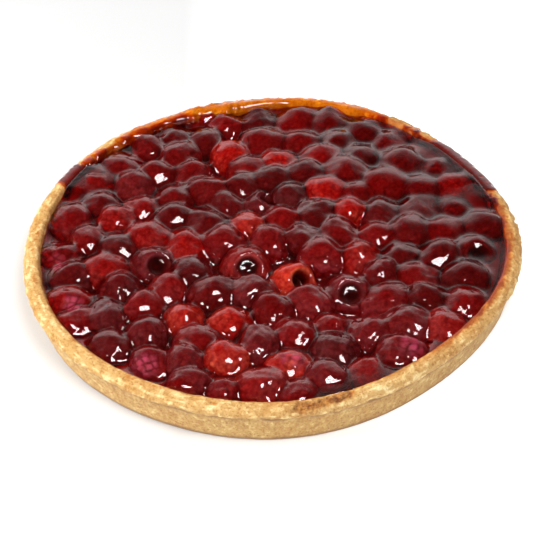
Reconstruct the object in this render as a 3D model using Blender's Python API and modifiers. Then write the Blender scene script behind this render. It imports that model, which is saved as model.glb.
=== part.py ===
"""Berry tart: a straight-sided shortcrust shell with a trimmed lip, filled with a bed of whole raspberries
that lie shoulder to shoulder in set jelly. Metres, +Z up, origin at the centre of the underside."""

import math
import random
from collections import namedtuple

import bmesh
import bpy

# Crust. Radii are those of the mean circle, before the shell's outline is made slightly out of round.
RIM_RADIUS = 0.1350
TART_HEIGHT = 0.0255
BASE_RADIUS = 0.1286
BASE_BEVEL = 0.0012
LIP_Z = 0.0208
LIP_OVERHANG = 0.0014
LIP_DEPTH = 0.0018
RIM_WIDTH = 0.0085
RIM_ROUNDING = 0.0008
WALL_THICKNESS = 0.0072
FLOOR_Z = 0.0045
FLOOR_FILLET = 0.0025
CRUST_STEPS = 90
# (bulges round the rim, their share of the radius, direction of the first one in degrees)
OUT_OF_ROUND = ((2, 0.0019, 55.5), (3, 0.0042, -10.5), (4, 0.0077, -8.7), (5, 0.0076, -6.5))

# Jelly between the berries. It stands higher on one side, where it reaches the rim.
JELLY_EDGE_Z = 0.0184
JELLY_RISE = 0.0006
JELLY_TILT = 0.0044
JELLY_HIGH_SIDE = math.radians(12)
JELLY_FILLET = 0.0011

# Berries. An axis runs from a berry's hollow stem end to its tip. Soft ones settle wider and lower than they grew.
SEED = 53
BERRIES = 116
CANDIDATES = 90
BERRY_RADIUS = (0.0097, 0.0124)
BERRY_LENGTHENING = (1.06, 1.26)
BERRY_SPACING = 0.90
WALL_SPACING = 0.86
SETTLED_WIDTH = 1.08
SETTLED_HEIGHT = 0.87
SETTLING_ROUNDS = 160
BERRY_TOP_Z = 0.0252
MOUND = 0.0032
TOP_SCATTER = 0.0017
# (share of the berries, lowest and highest slope of the axis in degrees): lying, leaning, tip up
POSES = ((0.58, -14, 18), (0.20, 20, 50), (0.22, 55, 90))
HOLLOW_MOUTH = 0.46
HOLLOW_DEPTH = 0.0042
# Berries that stand out: (x, y, radius, slope and heading of the axis in degrees, whether the hollow shows)
CHOSEN = (
    (-0.0140, -0.0125, 0.0124, -56, 104, True),
    (-0.0645, -0.0110, 0.0118, -55, 122, True),
    (0.0110, -0.0280, 0.0108, -50, 140, True),
    (0.0410, -0.0405, 0.0122, -58, 103, True),
    (0.1080, -0.0105, 0.0115, -60, 112, True),
    (-0.0050, 0.0340, 0.0100, -62, 200, True),
    (-0.0470, -0.0565, 0.0104, 66, 250, False),
    (-0.0235, -0.0620, 0.0105, 25, 210, False),
    (-0.0310, -0.0375, 0.0110, 5, 30, False),
    (-0.0095, -0.0380, 0.0108, 0, 350, False),
    (-0.0420, -0.0200, 0.0105, 60, 270, False),
    (0.0205, -0.0485, 0.0120, 40, 300, False),
    (0.0280, -0.0130, 0.0110, -10, 340, False),
    (0.0510, -0.0740, 0.0116, 5, 350, False),
    (0.0300, -0.0670, 0.0102, 60, 280, False),
    (0.0780, -0.0310, 0.0110, 10, 15, False),
    (0.1020, -0.0340, 0.0112, 20, 330, False),
    (0.0330, 0.0435, 0.0105, 0, 10, False),
    (0.0455, 0.0250, 0.0088, 70, 270, False),
    (0.0070, 0.0720, 0.0100, 30, 320, False),
    (-0.0120, 0.0160, 0.0096, 50, 300, False),
    (-0.0200, 0.0835, 0.0112, 0, 5, False),
    (-0.0680, 0.0915, 0.0105, 70, 90, False),
    (-0.0520, 0.0450, 0.0113, 75, 260, False),
    (-0.1120, 0.0285, 0.0114, 10, 80, False),
    (-0.1150, -0.0015, 0.0106, 30, 200, False),
    (-0.0900, -0.0140, 0.0104, 0, 0, False),
    (-0.0620, 0.0685, 0.0106, 0, 25, False),
    (-0.0870, -0.0515, 0.0114, 20, 250, False),
    (-0.0640, -0.0900, 0.0104, 0, 320, False),
    (-0.0240, -0.0905, 0.0108, 10, 340, False),
    (0.0080, -0.0960, 0.0106, 5, 10, False),
)
Berry = namedtuple("Berry", "x y top radius half_length axis hollow")

BED_RINGS = 32
CLEARANCE = 0.0003

CRUST_COLOUR = (0.80, 0.55, 0.27)
BERRY_COLOUR = (0.30, 0.010, 0.014)


def out_of_round(angle):
    """How far the outline lies from the mean circle at this angle, as a factor on the radius."""
    factor = 1.0
    for bulges, share, first in OUT_OF_ROUND:
        factor += share * math.cos(bulges * (angle - math.radians(first)))
    return factor


def crust_profile():
    """(radius, height) of the shell's section, from the rim down the outside, under the base and up the inside."""
    rim_inner = RIM_RADIUS - RIM_WIDTH
    under_lip = RIM_RADIUS - LIP_OVERHANG
    foot = BASE_RADIUS - WALL_THICKNESS
    return (
        (rim_inner + 0.28 * RIM_WIDTH, TART_HEIGHT),
        (RIM_RADIUS - 0.30 * RIM_WIDTH, TART_HEIGHT - 0.0009),
        (RIM_RADIUS - 0.0004, LIP_Z + LIP_DEPTH),
        (RIM_RADIUS, LIP_Z + 0.4 * LIP_DEPTH),
        (RIM_RADIUS - 0.0003, LIP_Z),
        (under_lip, LIP_Z - 0.0004),
        (BASE_RADIUS, BASE_BEVEL),
        (BASE_RADIUS - BASE_BEVEL, 0.0),
        (0.0, 0.0),
        (0.0, FLOOR_Z),
        (foot - FLOOR_FILLET, FLOOR_Z),
        (foot, FLOOR_Z + FLOOR_FILLET),
        (rim_inner, TART_HEIGHT - RIM_ROUNDING),
    )


def inner_radius(z):
    """Mean radius of the shell's inner wall at height z, above its fillet."""
    foot = BASE_RADIUS - WALL_THICKNESS
    foot_z = FLOOR_Z + FLOOR_FILLET
    rise = (z - foot_z) / (TART_HEIGHT - RIM_ROUNDING - foot_z)
    return foot + rise * (RIM_RADIUS - RIM_WIDTH - foot)


def bed_radius():
    return inner_radius(JELLY_EDGE_Z) - CLEARANCE


def jelly_height(x, y):
    """Height of the jelly's surface where no berry lifts it."""
    along = (x * math.cos(JELLY_HIGH_SIDE) + y * math.sin(JELLY_HIGH_SIDE)) / bed_radius()
    from_middle = math.hypot(x, y) / bed_radius()
    return JELLY_EDGE_Z + JELLY_RISE * (1 - from_middle**2) + JELLY_TILT * (0.5 + 0.5 * along) ** 2


def berry_spots(draw):
    """Places and radii of the berries. They are dropped where there is most room, and then push each other
    apart until they fill the shell. The chosen ones stay where they are."""
    spots = [[x, y] for x, y, *_ in CHOSEN]
    radii = [chosen[2] for chosen in CHOSEN]
    while len(spots) < BERRIES:
        radius = draw.uniform(*BERRY_RADIUS)
        best, most_room = None, -math.inf
        for _ in range(CANDIDATES):
            reach = (bed_radius() - WALL_SPACING * radius) * math.sqrt(draw.random())
            angle = draw.uniform(0, 2 * math.pi)
            x, y = reach * math.cos(angle), reach * math.sin(angle)
            room = min(math.hypot(x - a, y - b) - other for (a, b), other in zip(spots, radii))
            if room > most_room:
                best, most_room = [x, y], room
        spots.append(best)
        radii.append(radius)
    for _ in range(SETTLING_ROUNDS):
        push_apart(spots, radii)
    return zip(spots, radii)


def push_apart(spots, radii):
    """One round of pushing: of two berries too close together each gives way, and the wall pushes back."""
    for i in range(len(CHOSEN), len(spots)):
        for j in range(i):
            dx, dy = spots[i][0] - spots[j][0], spots[i][1] - spots[j][1]
            gap = math.hypot(dx, dy)
            push = BERRY_SPACING * (radii[i] + radii[j]) - gap
            if push <= 0 or gap == 0:
                continue
            share = 1.0 if j < len(CHOSEN) else 0.5
            spots[i][0] += share * push * dx / gap
            spots[i][1] += share * push * dy / gap
            spots[j][0] -= (1 - share) * push * dx / gap
            spots[j][1] -= (1 - share) * push * dy / gap
    for spot, radius in zip(spots, radii):
        too_far = math.hypot(*spot) / (bed_radius() - WALL_SPACING * radius)
        if too_far > 1:
            spot[0] /= too_far
            spot[1] /= too_far


def drawn_slope(draw):
    """The slope of one berry's axis in degrees, from the shares in POSES."""
    pick = draw.random()
    for share, lowest, highest in POSES:
        if pick < share:
            break
        pick -= share
    return draw.uniform(lowest, highest)


def laid_berries():
    """All the berries, from a seeded draw, as they lie in the shell."""
    draw = random.Random(SEED)
    berries = []
    for number, ((x, y), radius) in enumerate(berry_spots(draw)):
        radius *= SETTLED_WIDTH
        half_length = radius * draw.uniform(*BERRY_LENGTHENING)
        slope, heading, hollow = drawn_slope(draw), draw.uniform(0, 360), False
        if number < len(CHOSEN):
            slope, heading, hollow = CHOSEN[number][3:]
        slope, heading = math.radians(slope), math.radians(heading)
        level = math.cos(slope)
        axis = (level * math.cos(heading), level * math.sin(heading), math.sin(slope))
        from_middle = math.hypot(x, y) / bed_radius()
        top = BERRY_TOP_Z + MOUND * (1 - from_middle**2) + draw.uniform(-TOP_SCATTER, TOP_SCATTER)
        berries.append(Berry(x, y, top, radius, half_length, axis, hollow))
    return berries


def berry_height(berry, x, y):
    """Height of the berry's upper surface above (x, y), or None outside its outline. The berry is an ellipsoid
    round its axis, and one that shows its hollow has a dimple there."""
    dx, dy = x - berry.x, y - berry.y
    if math.hypot(dx, dy) > berry.half_length:
        return None
    across = 1 / berry.radius**2
    extra = 1 / berry.half_length**2 - across
    along = dx * berry.axis[0] + dy * berry.axis[1]
    lift = berry.axis[2]
    a = across + extra * lift**2
    b = 2 * extra * along * lift
    c = (dx * dx + dy * dy) * across + extra * along**2 - 1
    inside = b * b - 4 * a * c
    if inside <= 0:
        return None
    half_height = math.sqrt(berry.radius**2 + (berry.half_length**2 - berry.radius**2) * lift**2)
    height = berry.top - SETTLED_HEIGHT * (half_height - (math.sqrt(inside) - b) / (2 * a))
    if berry.hollow:
        mouth = HOLLOW_MOUTH * berry.radius
        mouth_x, mouth_y = (-berry.half_length * part for part in berry.axis[:2])
        off = math.hypot(dx - mouth_x, dy - mouth_y) / mouth
        height -= HOLLOW_DEPTH * math.exp(-(off**4))
    return height


def bed_height(berries, x, y, from_wall):
    """Height of the filling, with the jelly drawn up a little where berries meet. from_wall is 0 at the wall and
    1 in the middle."""
    jelly = jelly_height(x, y)
    total = 1.0
    for berry in berries:
        height = berry_height(berry, x, y)
        if height is not None:
            total += math.exp((height - jelly) / JELLY_FILLET)
    return jelly + JELLY_FILLET * math.log(total) * (1 - (1 - from_wall) ** 24)


def material(name, colour, roughness):
    made = bpy.data.materials.new(name)
    made.use_nodes = True
    shader = made.node_tree.nodes["Principled BSDF"]
    shader.inputs["Base Color"].default_value = (*colour, 1.0)
    shader.inputs["Roughness"].default_value = roughness
    shader.inputs["Metallic"].default_value = 0.0
    return made


def pressed_out_of_round(mesh):
    """Moves each vertex in or out along its radius, as the tin's outline does."""
    for vertex in mesh.vertices:
        x, y, _ = vertex.co
        factor = out_of_round(math.atan2(y, x))
        vertex.co.x = x * factor
        vertex.co.y = y * factor


def make_crust(collection):
    profile = bpy.data.meshes.new("crust_profile")
    corners = crust_profile()
    points = [(radius, 0.0, z) for radius, z in corners]
    joined_up = [(i, i + 1) for i in range(len(corners) - 1)]
    profile.from_pydata(points, joined_up + [(len(corners) - 1, 0)], [])
    turned = bpy.data.objects.new("crust_turned", profile)
    collection.objects.link(turned)
    screw = turned.modifiers.new("turn", "SCREW")
    screw.steps = screw.render_steps = CRUST_STEPS
    screw.use_merge_vertices = True
    screw.merge_threshold = 0.00001
    screw.use_normal_calculate = True
    bpy.context.view_layer.update()
    evaluated = turned.evaluated_get(bpy.context.evaluated_depsgraph_get())
    mesh = bpy.data.meshes.new_from_object(evaluated)
    bpy.data.objects.remove(turned)
    pressed_out_of_round(mesh)
    mesh.shade_smooth()
    mesh.set_sharp_from_angle(angle=math.radians(35))
    crust = bpy.data.objects.new("crust", mesh)
    collection.objects.link(crust)
    mesh.materials.append(material("baked_shortcrust", CRUST_COLOUR, 0.85))
    return crust


def hexagon_to_disc(bm):
    """Moves the vertices of a subdivided hexagon of radius 1 so that its rings become circles."""
    for vertex in bm.verts:
        x, y, _ = vertex.co
        angle = math.atan2(y, x)
        sector = math.floor(angle / (math.pi / 3))
        off_middle = angle - (sector + 0.5) * math.pi / 3
        ring = math.hypot(x, y) * math.cos(off_middle) / math.cos(math.pi / 6)
        share = 0.5 + 0.5 * math.tan(off_middle) / math.tan(math.pi / 6)
        even_angle = (sector + share) * math.pi / 3
        vertex.co.x = ring * math.cos(even_angle)
        vertex.co.y = ring * math.sin(even_angle)


def lower_rim(bm, rim, radius, z):
    """Extrudes the rim's edges to a new rim of this mean radius and height, and returns its edges."""
    lower = bmesh.ops.extrude_edge_only(bm, edges=rim)["geom"]
    for vertex in (part for part in lower if isinstance(part, bmesh.types.BMVert)):
        reach = math.hypot(vertex.co.x, vertex.co.y)
        vertex.co.x *= radius / reach
        vertex.co.y *= radius / reach
        vertex.co.z = z
    return [part for part in lower if isinstance(part, bmesh.types.BMEdge)]


def make_berry_bed(collection):
    bm = bmesh.new()
    bmesh.ops.create_circle(bm, cap_ends=True, cap_tris=True, segments=6, radius=1.0)
    for vertex in bm.verts:
        vertex.co.x, vertex.co.y = -vertex.co.y, vertex.co.x
    bmesh.ops.subdivide_edges(bm, edges=bm.edges, cuts=BED_RINGS - 1, use_grid_fill=True)
    hexagon_to_disc(bm)
    berries = laid_berries()
    for vertex in bm.verts:
        x, y, _ = vertex.co
        edge_z = jelly_height(x * bed_radius(), y * bed_radius())
        reach = inner_radius(edge_z) - CLEARANCE
        vertex.co = (x * reach, y * reach, bed_height(berries, x * reach, y * reach, 1 - math.hypot(x, y)))
    rim = [edge for edge in bm.edges if edge.is_boundary]
    foot = BASE_RADIUS - WALL_THICKNESS - CLEARANCE
    rim = lower_rim(bm, rim, foot, FLOOR_Z + FLOOR_FILLET)
    rim = lower_rim(bm, rim, foot - FLOOR_FILLET, FLOOR_Z + CLEARANCE)
    bmesh.ops.edgeloop_fill(bm, edges=rim)
    bmesh.ops.recalc_face_normals(bm, faces=bm.faces)
    mesh = bpy.data.meshes.new("berry_bed")
    bm.to_mesh(mesh)
    bm.free()
    pressed_out_of_round(mesh)
    mesh.shade_smooth()
    mesh.set_sharp_from_angle(angle=math.radians(50))
    bed = bpy.data.objects.new("berry_bed", mesh)
    collection.objects.link(bed)
    mesh.materials.append(material("glazed_raspberry", BERRY_COLOUR, 0.15))
    return bed


def main():
    for old in list(bpy.data.objects):
        bpy.data.objects.remove(old)
    tart = bpy.data.collections.new("berry_tart")
    bpy.context.scene.collection.children.link(tart)
    make_crust(tart)
    make_berry_bed(tart)


main()
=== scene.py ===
"""Looks of the berry tart: a baked shortcrust shell, whole raspberries in it and the clear red jelly over
them, on a white floor in soft studio light. Metres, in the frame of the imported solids."""

import math
import random
from collections import namedtuple

import bmesh
import bpy
import numpy as np
from mathutils import Matrix, Vector, noise
from mathutils.bvhtree import BVHTree


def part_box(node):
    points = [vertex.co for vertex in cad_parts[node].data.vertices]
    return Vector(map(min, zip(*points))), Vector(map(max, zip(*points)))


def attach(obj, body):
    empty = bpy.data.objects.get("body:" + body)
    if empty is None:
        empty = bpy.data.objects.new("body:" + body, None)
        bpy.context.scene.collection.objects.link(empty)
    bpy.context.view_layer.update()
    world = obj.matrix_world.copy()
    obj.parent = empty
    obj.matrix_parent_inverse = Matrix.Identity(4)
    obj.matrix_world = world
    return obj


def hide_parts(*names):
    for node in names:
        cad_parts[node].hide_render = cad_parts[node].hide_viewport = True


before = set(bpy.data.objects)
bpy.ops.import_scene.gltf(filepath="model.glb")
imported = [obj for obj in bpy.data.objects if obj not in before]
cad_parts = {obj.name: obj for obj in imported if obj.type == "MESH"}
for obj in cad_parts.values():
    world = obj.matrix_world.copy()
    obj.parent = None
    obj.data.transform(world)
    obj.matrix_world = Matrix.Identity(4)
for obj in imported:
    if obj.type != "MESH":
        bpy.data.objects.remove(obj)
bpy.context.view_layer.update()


def ring_radii(node):
    """{height: mean radius} of the rings of vertices of a turned CAD node, to a tenth of a millimetre."""
    rings = {}
    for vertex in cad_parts[node].data.vertices:
        x, y, z = vertex.co
        rings.setdefault(round(z, 4), []).append(math.hypot(x, y))
    return {z: round(sum(radii) / len(radii), 4) for z, radii in rings.items()}


# The shell's main sizes are read from the frame, and its finer ones repeat those of the solids.
crust_rings = ring_radii("crust")
RIM_RADIUS = max(crust_rings.values())
TART_HEIGHT = round(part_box("crust")[1].z, 4)
BASE_BEVEL = 0.0012
BASE_RADIUS = crust_rings[BASE_BEVEL]
LIP_Z = 0.0208
LIP_OVERHANG = 0.0014
RIM_WIDTH = 0.0085
RIM_ROUNDING = 0.0008
WALL_THICKNESS = 0.0072
FLOOR_Z = 0.0045
FLOOR_FILLET = 0.0025
CLEARANCE = 0.0003
OUT_OF_ROUND = ((2, 0.0019, 55.5), (3, 0.0042, -10.5), (4, 0.0077, -8.7), (5, 0.0076, -6.5))

# The berries lie where the solid bed has them.
JELLY_EDGE_Z = 0.0184
JELLY_RISE = 0.0006
JELLY_TILT = 0.0044
JELLY_HIGH_SIDE = math.radians(12)
SEED = 53
BERRIES = 116
CANDIDATES = 90
BERRY_RADIUS = (0.0097, 0.0124)
BERRY_LENGTHENING = (1.06, 1.26)
BERRY_SPACING = 0.90
WALL_SPACING = 0.86
SETTLED_WIDTH = 1.08
SETTLED_HEIGHT = 0.87
SETTLING_ROUNDS = 160
BERRY_TOP_Z = 0.0252
MOUND = 0.0032
TOP_SCATTER = 0.0017
BACK_DROP = 0.0018  # how much lower the last row at the back lies here than in the solid bed
HIGHEST_BERRY = 0.0288  # keeps the jelly over the tallest berries within 1 mm of the solid bed's top
POSES = ((0.58, -14, 18), (0.20, 20, 50), (0.22, 55, 90))
# Berries laid one by one: x, y, radius, and slope and heading of the axis in degrees. The first are hollow.
HOLLOW_BERRIES = 6
CHOSEN = (
    (-0.014, -0.0125, 0.0124, -56, 104), (-0.0645, -0.011, 0.0118, -55, 122),
    (0.011, -0.028, 0.0108, -50, 140), (0.041, -0.0405, 0.0122, -58, 103),
    (0.108, -0.0105, 0.0115, -60, 112), (-0.005, 0.034, 0.01, -62, 200),
    (-0.047, -0.0565, 0.0104, 66, 250), (-0.0235, -0.062, 0.0105, 25, 210),
    (-0.031, -0.0375, 0.011, 5, 30), (-0.0095, -0.038, 0.0108, 0, 350),
    (-0.042, -0.02, 0.0105, 60, 270), (0.0205, -0.0485, 0.012, 40, 300),
    (0.028, -0.013, 0.011, -10, 340), (0.051, -0.074, 0.0116, 5, 350),
    (0.03, -0.067, 0.0102, 60, 280), (0.078, -0.031, 0.011, 10, 15),
    (0.102, -0.034, 0.0112, 20, 330), (0.033, 0.0435, 0.0105, 0, 10),
    (0.0455, 0.025, 0.0088, 70, 270), (0.007, 0.072, 0.01, 30, 320),
    (-0.012, 0.016, 0.0096, 50, 300), (-0.02, 0.0835, 0.0112, 0, 5),
    (-0.068, 0.0915, 0.0105, 70, 90), (-0.052, 0.045, 0.0113, 75, 260),
    (-0.112, 0.0285, 0.0114, 10, 80), (-0.115, -0.0015, 0.0106, 30, 200),
    (-0.09, -0.014, 0.0104, 0, 0), (-0.062, 0.0685, 0.0106, 0, 25),
    (-0.087, -0.0515, 0.0114, 20, 250), (-0.064, -0.09, 0.0104, 0, 320),
    (-0.024, -0.0905, 0.0108, 10, 340), (0.008, -0.096, 0.0106, 5, 10),
)
Berry = namedtuple("Berry", "x y top radius half_length axis hollow")

# Berries among them that are lighter and more orange, by their place in the list.
BRIGHT = {2, 6, 7, 17, 18, 19, 20, 21, 30, 31}

# Crust mesh. The lip's edge waves up and down, and is ragged in and out.
CRUST_ANGLES = 1200
CRUST_SPACING = 0.00075
LIP_WAVE = 0.0012
LIP_RAGGEDNESS = 0.0006
TORN_SPOT = (math.radians(-80), 0.0165, 0.0027)  # direction, half length and half width
CRUMBLED_DEPTH = 0.0032
TORN_DEPTH = 0.0010

# Arcs of the rim, in degrees from the tart's right by its back: start, end and how softly they end.
BRUSHED = (57, 130, 10)
BRUSH_END = (130, 144, 5)
RIGHT_SPILL = (14, 40, 14)
LEFT_SPILL = (145, 154, 5)
CRUMBLED = (38, 60, 8)
LEFT_RUNS = (110, 147, 8)
GLAZE_BEADS = (96, 111, 6)
GLAZE_DROPS = ((123, 127, 3), (130, 134, 3))
RUN_DOWN = (103.5, 108, 2.5)

# Raspberry mesh.
BERRY_SUBDIVISIONS = 5
BERRY_VARIANTS = 10
DRUPELETS = 92
DRUPELET_HEIGHT = 0.078
UNEVENNESS = 0.15
CREASE_WIDTH = 0.055
LYING_RISE = 0.18
UPRIGHT_RISE = 0.82
HOLE_ANGLE = 42
HOLE_DEPTH = 1.15
CUP_DEPTH = 0.66

# Core mesh. It is raised at the wall, under the jelly that runs over.
CORE_Z = 0.0150
SUNK_Z = CORE_Z - 0.0012  # nothing below this can be seen
CORE_RINGS = 36
CORE_RAISE = 0.0055
RAISED_CORE = ((8, 46, 12), (140, 158, 8))

# The light that the jelly lets through, and how densely it takes out the rest.
RED_JELLY = (0.945, 0.06, 0.0)
JELLY_DENSITY = 1050.0

# Jelly mesh.
FIELD_PITCH = 0.00055
FIELD_REACH = 0.130
JELLY_RINGS = 178
INTO_WALL = 0.0007
# Each is for where the jelly is thin, where it is thick and where it floods the berries.
FILM_THICKNESS = (0.0005, 0.0012, 0.0018)
DRAPE_RADIUS = (0.0018, 0.0040, 0.0080)
SKIN_BLUR = (0.0006, 0.0009, 0.0016)
LEVEL_DROP = 0.0050
BARE_DROP = 0.0005
# Where a berry stands bare out of the jelly, and how far round.
BARE_SPOTS = ((-0.066, -0.094), (0.070, -0.092), (-0.117, -0.012), (-0.105, -0.045), (0.009, -0.097))
BARE_REACH = 0.0072
# Where the jelly stands up to the wall, or over it: the arc, the shares of the radius between which it
# rises, the height it reaches and how much that lifts it at most.
EDGE_FILLS = (
    ((112, 190, 24), (0.84, 0.99), 0.0230, 0.0025),
    ((11, 42, 10), (0.70, 0.97), 0.0258, 0.0055),
    ((142, 157, 7), (0.70, 0.97), 0.0258, 0.0055),
    ((-82, -60, 10), (0.84, 0.96), 0.0240, 0.0040),
)
# The slope that mirrors the softbox to the camera.
MIRROR_SLOPE = 0.87
# Hollow berries with jelly inside, by their place in the list, how far round the mouth's middle it reaches,
# in berry radii, how far it is dished, and how much more than the berry's axis the mouths face the front.
FILLED_HOLLOWS = (0, 1, 3, 4)
HOLLOW_REACH = 0.70
HOLLOW_DISH = 0.0010
HOLLOW_TILT = math.radians(4)
HOLLOW_BLEND = 0.0012


def out_of_round(angle):
    """How far the outline lies from the mean circle at this angle, as a factor on the radius."""
    factor = 1.0
    for bulges, share, first in OUT_OF_ROUND:
        factor = factor + share * np.cos(bulges * (angle - math.radians(first)))
    return factor


def inner_radius(z):
    """Mean radius of the shell's inner wall at height z, above its fillet."""
    foot = BASE_RADIUS - WALL_THICKNESS
    foot_z = FLOOR_Z + FLOOR_FILLET
    rise = (z - foot_z) / (TART_HEIGHT - RIM_ROUNDING - foot_z)
    return foot + rise * (RIM_RADIUS - RIM_WIDTH - foot)


def bed_radius():
    return inner_radius(JELLY_EDGE_Z) - CLEARANCE


def jelly_height(x, y):
    """Height of the jelly's surface where no berry lifts it."""
    along = (x * math.cos(JELLY_HIGH_SIDE) + y * math.sin(JELLY_HIGH_SIDE)) / bed_radius()
    from_middle = np.hypot(x, y) / bed_radius()
    return JELLY_EDGE_Z + JELLY_RISE * (1 - from_middle**2) + JELLY_TILT * (0.5 + 0.5 * along) ** 2


def half_height(berry):
    """From the middle of a berry up to its top, before it settles."""
    return math.sqrt(berry.radius**2 + (berry.half_length**2 - berry.radius**2) * berry.axis[2] ** 2)


def berry_place(berry):
    """Where the middle of a berry lies in the shell, which is a little out of round."""
    factor = float(out_of_round(math.atan2(berry.y, berry.x)))
    return berry.x * factor, berry.y * factor


def berry_spots(draw):
    """Places and radii of the berries. They are dropped where there is most room, and then push each other
    apart. The chosen ones stay where they are."""
    spots = [[x, y] for x, y, *_ in CHOSEN]
    radii = [chosen[2] for chosen in CHOSEN]
    while len(spots) < BERRIES:
        radius = draw.uniform(*BERRY_RADIUS)
        best, most_room = None, -math.inf
        for _ in range(CANDIDATES):
            reach = (bed_radius() - WALL_SPACING * radius) * math.sqrt(draw.random())
            angle = draw.uniform(0, 2 * math.pi)
            x, y = reach * math.cos(angle), reach * math.sin(angle)
            room = min(math.hypot(x - a, y - b) - other for (a, b), other in zip(spots, radii))
            if room > most_room:
                best, most_room = [x, y], room
        spots.append(best)
        radii.append(radius)
    for _ in range(SETTLING_ROUNDS):
        push_apart(spots, radii)
    return zip(spots, radii)


def push_apart(spots, radii):
    """One round of pushing: of two berries too close each gives way, and the wall pushes back."""
    for i in range(len(CHOSEN), len(spots)):
        for j in range(i):
            dx, dy = spots[i][0] - spots[j][0], spots[i][1] - spots[j][1]
            gap = math.hypot(dx, dy)
            push = BERRY_SPACING * (radii[i] + radii[j]) - gap
            if push <= 0 or gap == 0:
                continue
            share = 1.0 if j < len(CHOSEN) else 0.5
            spots[i][0] += share * push * dx / gap
            spots[i][1] += share * push * dy / gap
            spots[j][0] -= (1 - share) * push * dx / gap
            spots[j][1] -= (1 - share) * push * dy / gap
    for spot, radius in zip(spots, radii):
        too_far = math.hypot(*spot) / (bed_radius() - WALL_SPACING * radius)
        if too_far > 1:
            spot[0] /= too_far
            spot[1] /= too_far


def drawn_slope(draw):
    """The slope of one berry's axis in degrees, from the shares in POSES."""
    pick = draw.random()
    for share, lowest, highest in POSES:
        if pick < share:
            break
        pick -= share
    return draw.uniform(lowest, highest)


def laid_berries():
    """All the berries, from a seeded draw, as they lie in the shell."""
    draw = random.Random(SEED)
    berries = []
    for number, ((x, y), radius) in enumerate(berry_spots(draw)):
        radius *= SETTLED_WIDTH
        half_length = radius * draw.uniform(*BERRY_LENGTHENING)
        slope, heading = drawn_slope(draw), draw.uniform(0, 360)
        if number < len(CHOSEN):
            slope, heading = CHOSEN[number][3:]
        slope, heading = math.radians(slope), math.radians(heading)
        level = math.cos(slope)
        axis = (level * math.cos(heading), level * math.sin(heading), math.sin(slope))
        from_middle = math.hypot(x, y) / bed_radius()
        top = BERRY_TOP_Z + MOUND * (1 - from_middle**2) + draw.uniform(-TOP_SCATTER, TOP_SCATTER)
        top -= BACK_DROP * float(smoothstep(0.085, 0.105, y))
        top = min(top, HIGHEST_BERRY)
        berries.append(Berry(x, y, top, radius, half_length, axis, number < HOLLOW_BERRIES))
    return berries


# ---- mesh helpers


def smoothstep(low, high, value):
    share = np.clip((value - low) / (high - low), 0.0, 1.0)
    return share * share * (3 - 2 * share)


def noise_at(points, size, octaves=2, shift=0.0):
    """Fractal noise, about -1 to 1, at an array of points, with lumps of about this size."""
    scaled = (points / size + shift).tolist()
    return np.array([noise.fractal(point, 1.0, 2.0, octaves) for point in scaled])


def linked(name, data):
    """A new object in the scene."""
    made = bpy.data.objects.new(name, data)
    bpy.context.scene.collection.objects.link(made)
    return made


def piece_from(name, points, groups, **attributes):
    """A smooth-shaded mesh object from an array of points and arrays of faces, with point attributes."""
    mesh = bpy.data.meshes.new(name)
    mesh.from_pydata(points.tolist(), [], [face for faces in groups for face in faces.tolist()])
    mesh.validate()
    mesh.shade_smooth()
    for key, values in attributes.items():
        layer = mesh.attributes.new(key, "FLOAT", "POINT")
        layer.data.foreach_set("value", np.asarray(values, np.float32).ravel())
    return linked(name, mesh)


def ring_faces(rows, columns):
    """Quads between neighbouring rows of a grid of points whose columns close into rings."""
    row, column = np.meshgrid(np.arange(rows - 1), np.arange(columns), indexing="ij")
    a = row * columns + column
    b = row * columns + (column + 1) % columns
    return np.stack([a + columns, b + columns, b, a], axis=-1).reshape(-1, 4)


def polar(points):
    """Direction and distance from the middle of an array of points."""
    return np.arctan2(points[:, 1], points[:, 0]), np.hypot(points[:, 0], points[:, 1])


# ---- crust


def resampled(corners, spacings):
    """Points along a polyline, each stretch at its own spacing."""
    points = [corners[0]]
    for start, end, spacing in zip(corners, corners[1:], spacings):
        start, end = np.array(start), np.array(end)
        count = max(1, round(float(np.linalg.norm(end - start)) / spacing))
        points += [tuple(start + (end - start) * (k + 1) / count) for k in range(count)]
    return np.array(points)


def crust_section():
    """(radius, height) along the shell's section, from the middle of its floor over the rim to the middle of
    its underside, and the numbers of the first points of the outer wall and of the underside."""
    mm = 0.001
    rim_inner = RIM_RADIUS - RIM_WIDTH
    foot = BASE_RADIUS - WALL_THICKNESS
    coarse, fine = 0.04, CRUST_SPACING
    upper = [
        (0.01 * foot, FLOOR_Z),
        (foot - FLOOR_FILLET, FLOOR_Z),
        (foot, FLOOR_Z + FLOOR_FILLET),
        (inner_radius(0.013), 0.013),
        (inner_radius(TART_HEIGHT - 1.9 * mm), TART_HEIGHT - 1.9 * mm),
    ]
    upper += [(rim_inner + x * mm, TART_HEIGHT - z * mm) for x, z in ((0.1, 0.9), (0.9, 0.2), (2.4, 0))]
    upper += [(RIM_RADIUS - x * mm, TART_HEIGHT - z * mm) for x, z in ((3.6, 0.4), (1.9, 1.1))]
    upper += [(RIM_RADIUS - x * mm, LIP_Z + z * mm) for x, z in ((0.7, 2.5), (0, 1.0), (0.2, 0))]
    wall = [(RIM_RADIUS - LIP_OVERHANG, LIP_Z - 0.4 * mm), (BASE_RADIUS, BASE_BEVEL)]
    under = [
        (BASE_RADIUS - 0.35 * BASE_BEVEL, 0.25 * BASE_BEVEL),
        (BASE_RADIUS - BASE_BEVEL, 0.0),
        (0.01 * BASE_RADIUS, 0.0),
    ]
    upper = resampled(upper, [coarse, coarse, 0.003] + [fine] * 9)
    wall = resampled(wall, [fine])
    under = resampled(under, [fine, coarse])
    return np.concatenate([upper, wall, under]), len(upper), len(upper) + len(wall)


def overhang_at(angle):
    """How far the lip stands proud of the wall: most at the front right, hardly at all at the back left."""
    return 0.0010 + 0.0008 * np.cos(angle + math.radians(55))


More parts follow.
